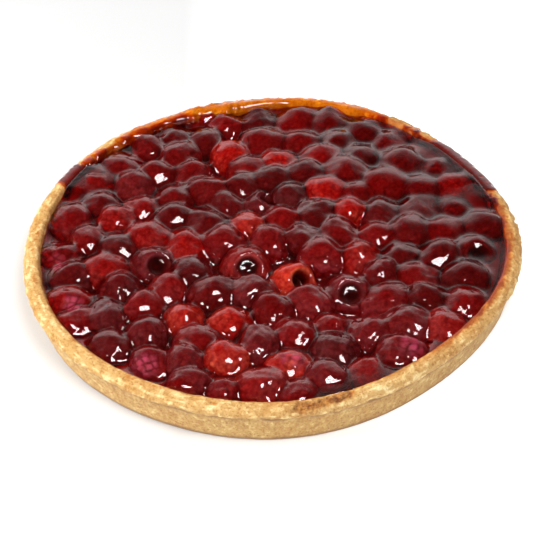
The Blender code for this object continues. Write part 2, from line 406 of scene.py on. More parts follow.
def grid_normals(points):
    """Outward normals of a grid of points whose columns close into rings."""
    along = np.gradient(points, axis=0)
    around = np.roll(points, -1, axis=1) - np.roll(points, 1, axis=1)
    normals = np.cross(along, around)
    length = np.linalg.norm(normals, axis=-1, keepdims=True)
    return normals / np.maximum(length, 1e-12)


def between(angles, start, end, fade):
    """1 from one direction to another, going round by rising angle, and 0 elsewhere, all in degrees."""
    middle, half = math.radians((start + end) / 2), math.radians((end - start) / 2)
    off = np.abs((angles - middle + math.pi) % (2 * math.pi) - math.pi)
    return 1 - smoothstep(half - math.radians(fade) / 2, half + math.radians(fade) / 2, off)


class CrustGrid:
    """The smooth shell as a grid: a row for each point of its section, a column for each direction."""

    def __init__(self):
        self.section, self.wall_start, wall_end = crust_section()
        self.radii, heights = self.section[:, :1], self.section[:, 1:]
        self.across = (self.radii - (RIM_RADIUS - RIM_WIDTH)) / RIM_WIDTH  # 0 to 1 over the rim
        self.angles = angles = np.arange(CRUST_ANGLES) * 2 * math.pi / CRUST_ANGLES
        self.shape = (len(self.section), CRUST_ANGLES)
        radius = np.repeat(self.radii, CRUST_ANGLES, axis=1)
        wall = slice(self.wall_start, wall_end)
        radius[wall] += heights[wall] / LIP_Z * (LIP_OVERHANG - overhang_at(angles))
        at_lip = np.exp(-(((heights - LIP_Z) / 0.0018) ** 2)) * (self.radii > RIM_RADIUS - 0.004)
        places = np.stack([RIM_RADIUS * np.cos(angles), RIM_RADIUS * np.sin(angles), 0 * angles], axis=1)
        self.wave = 0.6 * noise_at(places, 0.011, 1, 81.0) + 0.4 * noise_at(places, 0.0035, 2, 91.0)
        self.height = np.repeat(heights, CRUST_ANGLES, axis=1) + LIP_WAVE * at_lip * self.wave
        radius += LIP_RAGGEDNESS * at_lip * noise_at(places, 0.004, 2, 97.0)
        radius *= out_of_round(angles)
        self.points = np.stack([radius * np.cos(angles), radius * np.sin(angles), self.height], axis=-1)
        self.flat = self.points.reshape(-1, 3)

    def lumps(self, size, octaves, shift):
        return noise_at(self.flat, size, octaves, shift).reshape(self.shape)

    def streaks(self):
        """Noise that runs round the shell in streaks."""
        steps = np.linalg.norm(np.diff(self.section, axis=0, prepend=self.section[:1]), axis=1)
        run_along = np.repeat(np.cumsum(steps)[:, None], CRUST_ANGLES, axis=1)
        places = np.stack([0.22 * self.points[..., 0], 0.22 * self.points[..., 1], run_along], axis=-1)
        return noise_at(places.reshape(-1, 3), 0.0016, 2, 17.0).reshape(self.shape)

    def rim_share(self):
        """1 on the rim and inside it, and 0 on the outer wall and under the base."""
        rim = smoothstep(LIP_Z - 0.0002, LIP_Z + 0.0006, self.height)
        rim[: np.argmax(self.section[:, 1] > 0.9 * TART_HEIGHT)] = 1.0
        return rim


def glaze_on_crust(grid):
    """How thickly the amber glaze and the red jelly lie on the inner wall and rim, and how brown they are
    soaked, each from 0 to 1. The amber glaze is brushed on the far wall and rim. The red jelly stains the
    edge of the filling all round, and has run over the rim at the far right and far left."""
    angles, across = grid.angles, grid.across
    coarse, fine = grid.lumps(0.0090, 2, 51.0), grid.lumps(0.0035, 3, 61.0)
    brushed = between(angles, *BRUSHED) + between(angles, *BRUSH_END) * smoothstep(-0.15, 0.15, coarse)
    worn_off = smoothstep(0.36, 0.80, across + 0.22 * fine + 0.12 * coarse)
    amber = smoothstep(0.0, 0.45, brushed * (1 + 0.25 * coarse) - 0.12 - 1.05 * worn_off)
    amber = np.maximum(amber, (0.07 + 0.04 * coarse) * between(angles, -45, 62, 20))

    ragged = angles + math.radians(5) * coarse + math.radians(4) * fine
    crumbled, far_left = between(ragged, *CRUMBLED), between(angles, *LEFT_RUNS)
    spilled = between(ragged, *RIGHT_SPILL) + between(angles + math.radians(2) * fine, *LEFT_SPILL)
    onto_rim = np.maximum(0, across)
    red = spilled * (1.70 + 0.50 * coarse) - onto_rim * 0.80
    red += crumbled * (0.55 + 1.3 * coarse - 0.9 * onto_rim)
    red += far_left * (0.70 + 0.4 * coarse - 1.3 * onto_rim)
    red += (0.70 - 0.45 * spilled - 0.40 * far_left) * fine * smoothstep(0.02, 0.3, across)
    stain = 0.30 - 0.16 * between(angles, 140, 200, 40) + 0.20 * between(angles, -40, 25, 20)
    stain = stain * np.exp(-onto_rim / 0.15) * (1 - 0.8 * brushed) * np.clip(0.9 + 0.6 * coarse, 0.3, 1.2)
    red = np.clip(np.maximum(red, stain), 0, 1)

    soaked = (0.95 * between(angles, -50, 30, 30) + 0.55 * crumbled) * np.clip(1 + 0.6 * coarse, 0, 1)
    soaked = soaked * (1 - smoothstep(0.16, 0.62, across + 0.30 * fine + 0.12 * coarse))
    inside = np.arange(len(grid.section)) < np.argmax(grid.section[:, 0])
    reached = (inside & (grid.section[:, 1] > 0.012))[:, None]
    return amber * reached, red * reached, soaked * reached


def glaze_thickness(grid, amber, red, outer):
    """How far the glaze and jelly stand out from the crust, with their drips, beads and drops."""
    on_wall = 1 - smoothstep(0.0, 0.35, grid.across)
    drips = np.maximum(0.0, grid.lumps(0.0160, 1, 55.0) + 0.10)
    thickness = amber * (0.0008 + (0.0006 + 0.0032 * on_wall) * drips) + 0.0005 * smoothstep(0.1, 1.0, red)
    bead = np.exp(-(((grid.height - 0.0230) / 0.0020) ** 2)) * (1 - outer)
    uneven = np.clip(0.5 + 1.6 * grid.lumps(0.0060, 1, 71.0), 0, 1.5)
    thickness += 0.0034 * bead * between(grid.angles, *GLAZE_BEADS) * amber * uneven
    return thickness + 0.0018 * bead * sum(between(grid.angles, *drop) for drop in GLAZE_DROPS)


def crumbled_off(grid, wet):
    """How much has crumbled off the lip: most at the right and at the back left, and little elsewhere."""
    angles = grid.angles
    crumbly = between(angles, -25, 75, 25)
    crumbly += 0.4 * between(angles, 70, 120, 12) + 0.8 * between(angles, 118, 154, 12)
    bites = crumbly * np.maximum(0.0, grid.lumps(0.0042, 2, 11.0)) * (1 - 0.7 * wet)
    nicks = (1 - between(angles, -25, 55, 25)) * np.maximum(0.0, grid.lumps(0.003, 2, 21.0) - 0.15)
    return CRUMBLED_DEPTH * bites + 0.0006 * nicks


def torn_share(grid, rim):
    """1 where the rim's skin is torn off and browned, at the front right."""
    direction, half_length, half_width = TORN_SPOT
    along = ((grid.angles - direction + math.pi) % (2 * math.pi) - math.pi) * RIM_RADIUS / half_length
    off = (grid.radii - RIM_RADIUS + 0.48 * RIM_WIDTH + 0.0014 * along) / half_width
    torn = np.exp(-(along**4)) * np.exp(-(off**2)) * rim + 0.45 * grid.lumps(0.0032, 3, 31.0) - 0.12
    return smoothstep(0.10, 0.45, torn) * (np.abs(along) < 1.8) * (np.abs(off) < 2.2) * rim


def painted_shade_share(grid):
    """Painted shade: how dark the crust is painted in the crack below the lip, deepest at the front right,
    and at the foot, where it meets the floor.
    """
    below_lip = LIP_Z - 0.0006 - overhang_at(grid.angles) + LIP_WAVE * grid.wave
    crack = np.exp(-(((grid.height - below_lip) / 0.0015) ** 2))
    crack *= 0.45 + 0.40 * np.cos(grid.angles + math.radians(50))
    crack *= np.clip(0.9 + 1.2 * grid.lumps(0.012, 2, 41.0), 0.2, 1.4)
    crack[: grid.wall_start] = 0.0
    foot = 0.9 * (1 - smoothstep(0.0008, 0.0032, grid.height))
    return np.clip(crack + foot, 0, 1)


def make_crust():
    """The shell, with the glaze and jelly that lie on its rim."""
    grid = CrustGrid()
    rim = grid.rim_share()
    outer = smoothstep(RIM_RADIUS - 0.0045, RIM_RADIUS - 0.001, grid.radii)
    dents, grain, streak = grid.lumps(0.0045, 2, 7.3), grid.lumps(0.0016, 2, 3.1), grid.streaks()
    amber, red, soaked = glaze_on_crust(grid)
    wet = np.maximum(amber, smoothstep(0.05, 0.30, red))
    torn = torn_share(grid, rim)
    push = 0.00030 * (1 + rim) * grid.lumps(0.016, 2, 0.0) + 0.00012 * (1 + 1.5 * rim) * dents
    push += 0.00010 * (1 + 2 * rim) * grain + 0.00016 * rim * streak
    push *= smoothstep(0.0, 0.0015, grid.height) * (1 - 0.75 * wet)
    push += glaze_thickness(grid, amber, red, outer)
    push -= crumbled_off(grid, wet) * rim * outer
    push -= TORN_DEPTH * torn * (1 + 1.2 * grid.lumps(0.0024, 2, 33.0))
    points = grid.points + grid_normals(grid.points) * push[..., None]
    points[..., 2] = np.maximum(points[..., 2], 0.0)
    relief = 0.4 * dents + 0.4 * grain + 0.5 * rim * streak
    values = dict(rim=rim, relief=relief, streak=streak, torn=torn, shade=painted_shade_share(grid))
    glazing = dict(amber=amber, red=red, soaked=soaked)
    ring = np.arange(CRUST_ANGLES)[None, :]
    groups = [ring_faces(*grid.shape), ring, ring[:, ::-1] + (len(grid.section) - 1) * CRUST_ANGLES]
    crust = piece_from("crust_shell", points.reshape(-1, 3), groups, **values, **glazing)
    crust.data.materials.append(crust_material())
    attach(crust, "root")
    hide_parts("crust")


# ---- raspberries


def unit_sphere():
    """Points and triangles of a finely subdivided icosahedron."""
    bm = bmesh.new()
    bmesh.ops.create_icosphere(bm, subdivisions=BERRY_SUBDIVISIONS, radius=1.0)
    points = np.array([vertex.co[:] for vertex in bm.verts])
    triangles = np.array([[vertex.index for vertex in face.verts] for face in bm.faces])
    bm.free()
    return points, triangles


def drupelet_centres(draw):
    """Directions of the drupelets, in the spirals of a real berry, a little unevenly set."""
    golden = math.pi * (3 - math.sqrt(5))
    centres = []
    for number in range(DRUPELETS):
        z = 1 - 2 * (number + 0.5) / DRUPELETS
        level = math.sqrt(1 - z * z)
        turn = number * golden
        nudge = [draw.gauss(0, 0.035) for _ in range(3)]
        centre = Vector((level * math.cos(turn) + nudge[0], level * math.sin(turn) + nudge[1], z + nudge[2]))
        centres.append(centre.normalized()[:])
    return np.array(centres)


def raspberry_form(directions, draw):
    """One raspberry round a +Z axis from stem end to tip, of radius about 1 and half length 1: its points,
    how high each stands on its drupelet, from 0 in a crease, which sets the painted shade of the creases,
    and how deep in a hollow, which sets the painted shade there, here nowhere."""
    centres = drupelet_centres(draw)
    cosines = np.clip(directions @ centres.T, -1, 1)
    two_best = -np.partition(-cosines, 1, axis=1)[:, :2]
    nearest, second = np.arccos(two_best[:, 0]), np.arccos(two_best[:, 1])
    half_spacing = math.sqrt(math.pi / DRUPELETS) * 1.05
    dome = np.sqrt(np.clip(1 - (0.82 * nearest / half_spacing) ** 2, 0, 1))
    crease = 1 - np.exp(-(second - nearest) / CREASE_WIDTH)
    relief = 0.55 * dome + 0.45 * crease
    along = directions[:, 2]
    swell = 1.02 + DRUPELET_HEIGHT * (relief - 0.85)
    swell += UNEVENNESS * noise_at(directions, 1.1, 2, draw.uniform(0, 50))
    points = directions * swell[:, None]
    points[:, :2] *= (1.03 - 0.09 * along - 0.03 * along**2)[:, None]
    return points, relief, np.zeros(len(points))


def hollowed(directions, form, filled):
    """The form with the hole at its stem end that the core of the plant left: deep and plain, or, where jelly
    stands in it, a cup that the jelly has rounded."""
    points, relief, _ = form
    from_stem = np.degrees(np.arccos(np.clip(-directions[:, 2], -1, 1)))
    turn = np.arctan2(directions[:, 1], directions[:, 0])
    edge = HOLE_ANGLE * (1 + 0.10 * np.cos(2 * turn) + 0.07 * np.cos(3 * turn + 1))
    inward = 1 - np.clip(from_stem / edge, 0, 1)
    mouth = math.sin(math.radians(HOLE_ANGLE))
    if filled:
        reach = mouth * (1 - inward)
        depth = CUP_DEPTH * smoothstep(0.0, 0.9, inward)
    else:
        reach = mouth * np.minimum(1.0 - 0.30 * smoothstep(0.0, 0.25, inward), (1 - inward) / 0.35)
        depth = HOLE_DEPTH * smoothstep(0.0, 0.65, inward)
    hole = np.stack([reach * np.cos(turn), reach * np.sin(turn), -0.96 + depth], axis=1)
    share = smoothstep(0.0, 0.30 if filled else 0.12, inward)
    points = points * (1 - share[:, None]) + hole * share[:, None]
    return points, relief * (1 - 0.9 * share), smoothstep(0.10, 0.60 if filled else 0.40, inward)


def mouth_axis(berry):
    """The axis of a hollow berry's mouth, a little more level than the berry's own."""
    x, y, z = berry.axis
    level = math.hypot(x, y)
    slope = math.atan2(z, level) + HOLLOW_TILT
    return x / level * math.cos(slope), y / level * math.cos(slope), math.sin(slope)


def bare_share(x, y):
    """1 where the fruit stands bare out of the jelly, falling to 0 round it."""
    share = np.zeros_like(x)
    for spot_x, spot_y in BARE_SPOTS:
        share = np.maximum(share, np.exp(-((np.hypot(x - spot_x, y - spot_y) / BARE_REACH) ** 4)))
    return share


def axis_rotation(axis, roll):
    """Turns +Z to the berry's axis, after a roll about it."""
    turned = Vector((0, 0, 1)).rotation_difference(Vector(axis)).to_matrix()
    return np.array(turned @ Matrix.Rotation(roll, 3, "Z"))


def berry_kind(berry):
    if berry.hollow:
        return "hollow"
    rise = abs(berry.axis[2])
    return "lying" if rise < LYING_RISE else "upright" if rise > UPRIGHT_RISE else "leaning"


def make_raspberries(berries):
    """The whole fruit, one piece for each kind. Their undersides, sunk in the core, are left off. Returns the
    points and triangles of all of them."""
    draw = random.Random(SEED + 1)
    directions, triangles = unit_sphere()
    forms = [raspberry_form(directions, draw) for _ in range(BERRY_VARIANTS)]
    whole = raspberry_form(directions, draw)
    open_forms = {filled: hollowed(directions, whole, filled) for filled in (True, False)}
    kinds = {kind: [] for kind in ("lying", "leaning", "upright", "hollow")}
    for number, berry in enumerate(berries):
        points, relief, deep = open_forms[number in FILLED_HOLLOWS] if berry.hollow else draw.choice(forms)
        turn = axis_rotation(mouth_axis(berry) if berry.hollow else berry.axis, draw.uniform(0, 2 * math.pi))
        placed = (points * (berry.radius, berry.radius, berry.half_length)) @ turn.T
        placed[:, 2] = berry.top + SETTLED_HEIGHT * (placed[:, 2] - half_height(berry))
        placed[:, :2] += berry_place(berry)
        tone = 0.70 * draw.random() ** 1.3
        if number in BRIGHT:
            tone = 1.0 if berry.hollow else 0.82
        kinds[berry_kind(berry)].append((placed, relief, deep, tone))
    fruit = [joined_berries("raspberries_" + kind, members, triangles) for kind, members in kinds.items()]
    shifts = np.cumsum([0] + [len(points) for points, _ in fruit[:-1]])
    points = np.concatenate([points for points, _ in fruit])
    return points, np.concatenate([faces + shift for (_, faces), shift in zip(fruit, shifts)])


def joined_berries(name, members, triangles):
    """One piece of all the berries of a kind, without what lies below the core's top."""
    parts, faces, count = [], [], 0
    for placed, relief, deep, tone in members:
        kept = triangles[~(placed[:, 2] < SUNK_Z)[triangles].all(axis=1)]
        used, renumbered = np.unique(kept, return_inverse=True)
        parts.append(np.column_stack([placed, relief, deep, np.full(len(placed), tone)])[used])
        faces.append(renumbered.reshape(-1, 3) + count)
        count += len(used)
    parts, faces = np.concatenate(parts), np.concatenate(faces)
    points = parts[:, :3].copy()
    patchy = np.clip(0.75 + 1.3 * noise_at(points, 0.0050), 0.1, 1)
    values = dict(zip(("relief", "deep", "tone"), parts[:, 3:].T))
    values["bare"] = bare_share(points[:, 0], points[:, 1]) * patchy
    piece = piece_from(name, points, [faces], **values)
    piece.data.materials.append(raspberry_material())
    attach(piece, "root")
    return points, faces


# ---- core and jelly


def disc_grid(rings):
    """Points of a disc of radius 1, in rings of 6, 12, 18 ..., its triangles, facing up, and the last ring's
    number of points."""
    points, triangles, inner = [(0.0, 0.0)], [], 0
    for ring in range(1, rings + 1):
        outer, count, inner_count = len(points), 6 * ring, max(1, 6 * (ring - 1))
        turn = np.arange(count) * 2 * math.pi / count
        points += list(zip(ring / rings * np.cos(turn), ring / rings * np.sin(turn)))
        for k in range(count):
            side, step = divmod(k, ring)
            following = outer + (k + 1) % count
            below = inner + (k - side) % inner_count
            triangles.append((outer + k, following, below))
            if step < ring - 1:
                triangles.append((below, following, inner + (k - side + 1) % inner_count))
        inner = outer
    return np.array(points), np.array(triangles), 6 * rings


def closed_below(points, triangles, rim_count, floor_z, foot):
    """Adds a wall below the disc's last ring, and a floor. Returns points and groups of faces."""
    rim = np.arange(len(points) - rim_count, len(points))
    angle, reach = polar(points[rim])
    lower = points[rim].copy()
    lower[:, :2] *= (foot * out_of_round(angle) / reach)[:, None]
    lower[:, 2] = floor_z
    base = len(points) + np.arange(rim_count)
    wall = np.stack([rim, base, np.roll(base, -1), np.roll(rim, -1)], axis=1)
    return np.concatenate([points, lower]), [triangles, wall, base[::-1][None, :]]


def make_core():
    """What lies under the visible fruit: a plain dark body, raised where the jelly runs over the wall. Its
    dark colour is painted shade between the berries, and painted light makes it lighter at the wall.
    """
    points, triangles, rim_count = disc_grid(CORE_RINGS)
    angle, share = polar(points)
    points *= ((inner_radius(CORE_Z) + INTO_WALL) * out_of_round(angle))[:, None]
    points = np.column_stack([points, np.full(len(points), CORE_Z)])
    points[:, 2] += 0.0005 * noise_at(points, 0.009, 2)
    share = share * out_of_round(angle)
    run_over = sum(between(angle, *arc) for arc in RAISED_CORE)
    points[:, 2] += CORE_RAISE * run_over * smoothstep(0.86, 0.95, share)
    foot = BASE_RADIUS - WALL_THICKNESS
    points, faces = closed_below(points, triangles, rim_count, FLOOR_Z + CLEARANCE, foot)
    # Painted light at the wall, less where the jelly runs over it.
    edge = smoothstep(0.82, 0.97, polar(points)[1] / inner_radius(CORE_Z))
    edge[: len(run_over)] *= 1 - 0.75 * run_over
    core = piece_from("filling_core", points, faces, edge=edge)
    core.data.materials.append(core_material())
    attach(core, "root")
    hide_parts("berry_bed")


def blurred(field, width):
    """Gaussian blur of a square field, with this width in field steps."""
    reach = math.ceil(3 * width)
    weights = np.exp(-0.5 * (np.arange(-reach, reach + 1) / width) ** 2)
    field = np.pad(field, reach, mode="edge")
    for axis in (0, 1):
        field = np.apply_along_axis(np.convolve, axis, field, weights / weights.sum(), "valid")
    return field


def jelly_field(berries, berry_points, berry_triangles):
    """Heights of the jelly's skin on a square grid: it hangs over the berries with a film, stands between
    them at its own level, and bridges every nook narrower than the ball it is drawn over with."""
    tree = BVHTree.FromPolygons(berry_points.tolist(), berry_triangles.tolist(), all_triangles=True)
    ticks = np.arange(-FIELD_REACH, FIELD_REACH, FIELD_PITCH)
    down = Vector((0, 0, -1))
    fruit = np.full((len(ticks), len(ticks)), CORE_Z)
    for i, x in enumerate(ticks.tolist()):
        for j, y in enumerate(ticks.tolist()):
            hit = tree.ray_cast(Vector((x, y, 0.05)), down)[0]
            if hit is not None:
                fruit[i, j] = hit.z
    x, y = np.meshgrid(ticks, ticks, indexing="ij")
    patches = level_noise(x, y, 0.030, 2, 5.0)
    flooded = smoothstep(0.30, 0.85, (0.87 * x + 0.50 * y) / bed_radius() + 0.16 * patches)
    thick = smoothstep(-0.40, 0.40, level_noise(x, y, 0.022, 2, 9.0) + 0.15 + 0.55 * y / bed_radius())
    for berry in (berry for berry in berries if berry.hollow):
        off = np.hypot(x - berry.x, y - berry.y) / (1.1 * berry.radius)
        thick *= 1 - 0.9 * np.exp(-(off**4))
    bare = bare_share(x, y)
    thick *= 1 - bare
    inside = 1 - smoothstep(0.84, 0.97, np.hypot(x, y) / bed_radius())
    drop = LEVEL_DROP * (1 - 0.5 * thick * smoothstep(-0.1, 0.7, y / bed_radius()))
    level = jelly_height(x, y) + 0.0005 * flooded - drop * (1 - flooded) * inside + 0.0005 * patches
    film = FILM_THICKNESS[0] + (FILM_THICKNESS[1] - FILM_THICKNESS[0]) * thick - BARE_DROP * bare
    film += (FILM_THICKNESS[2] - film) * flooded
    skin = np.maximum(fruit + film, level)
    tight, loose, wide = (
        blurred(closed_with_ball(skin, ball_radius), blur / FIELD_PITCH)
        for ball_radius, blur in zip(DRAPE_RADIUS, SKIN_BLUR)
    )
    field = tight + (loose - tight) * thick
    field += (wide - field) * flooded
    for number in FILLED_HOLLOWS:
        film = wet_hollow(berries[number], x, y)
        near = np.clip(1 - np.abs(field - film) / HOLLOW_BLEND, 0, 1)
        field = np.maximum(field, film) + 0.25 * HOLLOW_BLEND * near**2
    return ticks, blurred(field, 0.7)


def level_noise(x, y, size, octaves, shift):
    """Fractal noise at places on a level plane."""
    places = np.stack([x.ravel(), y.ravel(), np.zeros(x.size)], axis=1)
    return noise_at(places, size, octaves, shift).reshape(x.shape)


def wet_hollow(berry, x, y):
    """Height of the jelly in a berry's hollow: a film from lip to lip, dished between front and back."""
    axis, (middle_x, middle_y) = mouth_axis(berry), berry_place(berry)
    to_mouth = [-math.cos(math.radians(HOLE_ANGLE)) * berry.half_length * part for part in axis]
    off_x, off_y = x - middle_x - to_mouth[0], y - middle_y - to_mouth[1]
    off = np.hypot(off_x, off_y) / (HOLLOW_REACH * berry.radius)
    lip = berry.top + SETTLED_HEIGHT * (to_mouth[2] - half_height(berry)) + 0.0004
    film = lip - SETTLED_HEIGHT * (off_x * axis[0] + off_y * axis[1]) / axis[2]
    film += 0.00025 * level_noise(x, y, 0.0060, 1, 3.0 + berry.x) - HOLLOW_DISH * (1 - off**4)
    return np.where(off < 1.1, film - 0.0040 * smoothstep(0.78, 1.1, off), -1.0)


def closed_with_ball(field, ball_radius):
    """Fills the hollows of a square field that a ball rolled over it would not reach into."""
    reach = int(ball_radius / FIELD_PITCH)
    steps = range(-reach, reach + 1)
    squares = ((i, j, ball_radius**2 - (i * i + j * j) * FIELD_PITCH**2) for i in steps for j in steps)
    offsets = [(i, j, math.sqrt(square)) for i, j, square in squares if square > 0]
    raised = np.full_like(field, -1.0)
    for i, j, lift in offsets:
        np.maximum(raised, np.roll(field, (i, j), axis=(0, 1)) + lift, out=raised)
    closed = np.full_like(field, 1.0)
    for i, j, lift in offsets:
        np.minimum(closed, np.roll(raised, (i, j), axis=(0, 1)) - lift, out=closed)
    return closed


def sampled(ticks, field, x, y):
    """Bilinear reading of a field at these places."""
    u, v = (np.clip((places - ticks[0]) / FIELD_PITCH, 0, len(ticks) - 1.001) for places in (x, y))
    i, j = u.astype(int), v.astype(int)
    p, q = u - i, v - j
    low = field[i, j] * (1 - p) + field[i + 1, j] * p
    high = field[i, j + 1] * (1 - p) + field[i + 1, j + 1] * p
    return low * (1 - q) + high * q


def raised_edge(x, y, z, angle, share):
    """The heights with the jelly drawn up at the wall, and up to the rim where it fills the shell or runs
    over. The angle and the share of the radius say where each point lies."""
    right, back = between(angle, 11, 42, 10), between(angle, 58, 152, 16)
    z = z + 0.0014 * (1 - 0.8 * between(angle, -55, 14, 24)) * smoothstep(0.94, 1.0, share)
    z = z + (0.0012 * right + 0.0008 * back) * smoothstep(0.90, 0.99, share)
    for arc, shares, height, most in EDGE_FILLS:
        z = z + between(angle, *arc) * smoothstep(*shares, share) * np.clip(height - z, 0, most)
    run_down = 0.0250 - MIRROR_SLOPE * RIM_RADIUS * np.maximum(0, 0.975 - share)
    run_down += 0.0003 * level_noise(x, y, 0.0030, 1, 13.0)
    return z + between(angle, *RUN_DOWN) * np.maximum(0, run_down - z)


def make_jelly(berries, berry_points, berry_triangles):
    """The clear red jelly, from its skin down into the core."""
    ticks, field = jelly_field(berries, berry_points, berry_triangles)
    disc, triangles, rim_count = disc_grid(JELLY_RINGS)
    angle, share = polar(disc)
    edge_x, edge_y = bed_radius() * np.cos(angle), bed_radius() * np.sin(angle)
    reach = (inner_radius(jelly_height(edge_x, edge_y) + 0.001) + INTO_WALL) * out_of_round(angle)
    x, y = disc[:, 0] * reach, disc[:, 1] * reach
    z = raised_edge(x, y, sampled(ticks, field, x, y), angle, share)
    points = np.column_stack([x, y, z])
    points, faces = closed_below(points, triangles, rim_count, SUNK_Z, inner_radius(CORE_Z) + INTO_WALL)
    jelly = piece_from("jelly", points, faces)
    jelly.data.materials.append(jelly_material())
    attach(jelly, "root")


# ---- materials

# Ramps, as (factor, colour) stops: two of crust, and what then multiplies it.
WHITE = (1.0, 1.0, 1.0)
CRUST_SIDE = ((0.28, (0.39, 0.238, 0.079)), (0.50, (0.54, 0.388, 0.152)), (0.72, (0.62, 0.50, 0.235)))
CRUST_TOP = ((0.28, (0.42, 0.250, 0.086)), (0.46, (0.63, 0.465, 0.207)), (0.66, (0.73, 0.610, 0.340)))
STREAKED = ((0.0, (0.84, 0.73, 0.56)), (0.30, (1.05, 1.07, 1.11)))
TOASTED = ((0.38, WHITE), (0.72, (0.88, 0.76, 0.60)))
FLECKED = ((0.33, (0.60, 0.42, 0.27)), (0.43, WHITE))
# Painted shade where the crust's relief dips.
DENT_SHADE = ((0.0, (0.72, 0.56, 0.38)), (0.35, WHITE))
SCORCHED = ((0.40, (0.30, 0.13, 0.04)), (0.62, (0.88, 0.66, 0.40)))
HONEYED = ((0.0, WHITE), (0.30, (0.96, 0.62, 0.24)), (1.0, (0.88, 0.37, 0.026)))
REDDENED = ((0, WHITE), (0.20, (0.85, 0.52, 0.22)), (0.42, (0.60, 0.16, 0.04)), (0.85, (0.19, 0.013, 0.024)))
SOAKED = ((0.0, WHITE), (0.5, (0.80, 0.52, 0.26)), (1.0, (0.48, 0.15, 0.06)))
# Painted shade in the crack below the lip and at the foot.
CRACK_SHADE_COLOUR = (0.22, 0.105, 0.035)
# A berry's colour by its tone, what multiplies it, with painted shade in its creases, and its colour
# where no jelly covers it, also with painted shade in the creases.
BERRY_TONES = ((0.0, (0.095, 0.005, 0.008)), (0.55, (0.205, 0.009, 0.014)), (1.0, (0.50, 0.045, 0.020)))
CREASE_SHADE = ((0.25, (0.78, 0.70, 0.70)), (0.80, WHITE))
BERRY_MOTTLE = ((0.42, (0.84, 0.82, 0.82)), (0.70, (1.24, 2.2, 1.6)))
BARE_FRUIT_AND_CREASE_SHADE = ((0.45, (0.17, 0.010, 0.024)), (0.95, (0.30, 0.028, 0.064)))
# Painted shade inside a berry's hollow.
HOLLOW_SHADE_COLOUR = (0.07, 0.003, 0.004)
# The core: dark as painted shade between the berries, and lighter at the wall as painted light.
CORE_COLOURS = ((0.35, (0.08, 0.0015, 0.002)), (0.70, (0.18, 0.005, 0.007)))
CORE_WALL_LIGHT = (0.40, 0.018, 0.014)


def new_material(name):
    made = bpy.data.materials.new(name)
    made.use_nodes = True
    return made, made.node_tree, made.node_tree.nodes["Principled BSDF"]


def fill(tree, made, values):
    """Sets inputs of a node, by name or number, to values or links them to sockets."""
    for key, value in values.items():
        if isinstance(value, bpy.types.NodeSocket):
            tree.links.new(value, made.inputs[key])
        else:
            made.inputs[key].default_value = value


def node(tree, kind, values=None, **settings):
    made = tree.nodes.new(kind)
    for key, value in settings.items():
        setattr(made, key, value)
    fill(tree, made, values or {})
    return made


def ramp(tree, factor, stops):
    """A colour ramp on a factor, with (position, colour) stops."""
    made = node(tree, "ShaderNodeValToRGB", {"Fac": factor})
    elements = made.color_ramp.elements
    while len(elements) < len(stops):
        elements.new(0.5)
    for element, (position, colour) in zip(elements, stops):
        element.position = position
        element.color = (*colour, 1.0)
    return made.outputs["Color"]


def mixed(tree, factor, first, second, blend="MIX"):
    """A colour mix of two colours or sockets."""
    sides = [side if isinstance(side, bpy.types.NodeSocket) else (*side, 1.0) for side in (first, second)]
    values = {0: factor, 6: sides[0], 7: sides[1]}
    return node(tree, "ShaderNodeMix", values, data_type="RGBA", blend_type=blend).outputs[2]


def tinted(tree, colour, factor, stops, share=1.0):
    """The colour times a ramp on a factor."""
    return mixed(tree, share, colour, ramp(tree, factor, stops), "MULTIPLY")


def mapped(tree, value, start, end, low=0.0, high=1.0, shape="LINEAR"):
    """A value that runs from low to high while another runs from start to end."""
    values = {"Value": value, "From Min": start, "From Max": end, "To Min": low, "To Max": high}
    return node(tree, "ShaderNodeMapRange", values, interpolation_type=shape).outputs[0]


def product(tree, first, second):
    return node(tree, "ShaderNodeMath", {0: first, 1: second}, operation="MULTIPLY").outputs[0]


def noise_node(tree, size, detail=3.0, stretch=(1, 1, 1), roughness=0.5):
    """A noise texture with lumps of about this size in metres, stretched along the axes."""
    place = node(tree, "ShaderNodeTexCoord").outputs["Object"]
    scaled = node(tree, "ShaderNodeMapping", {"Vector": place, "Scale": stretch}).outputs[0]
    values = {"Vector": scaled, "Scale": 1 / size, "Detail": detail, "Roughness": roughness}
    return node(tree, "ShaderNodeTexNoise", values).outputs["Fac"]


def attribute(tree, name):
    return node(tree, "ShaderNodeAttribute", attribute_name=name).outputs["Fac"]


def bumped(tree, height, distance, strength=1.0, normal=None):
    """A bump normal; its strength may be a number or a socket."""
    values = {"Height": height, "Distance": distance, "Strength": strength}
    if normal is not None:
        values["Normal"] = normal
    return node(tree, "ShaderNodeBump", values).outputs["Normal"]


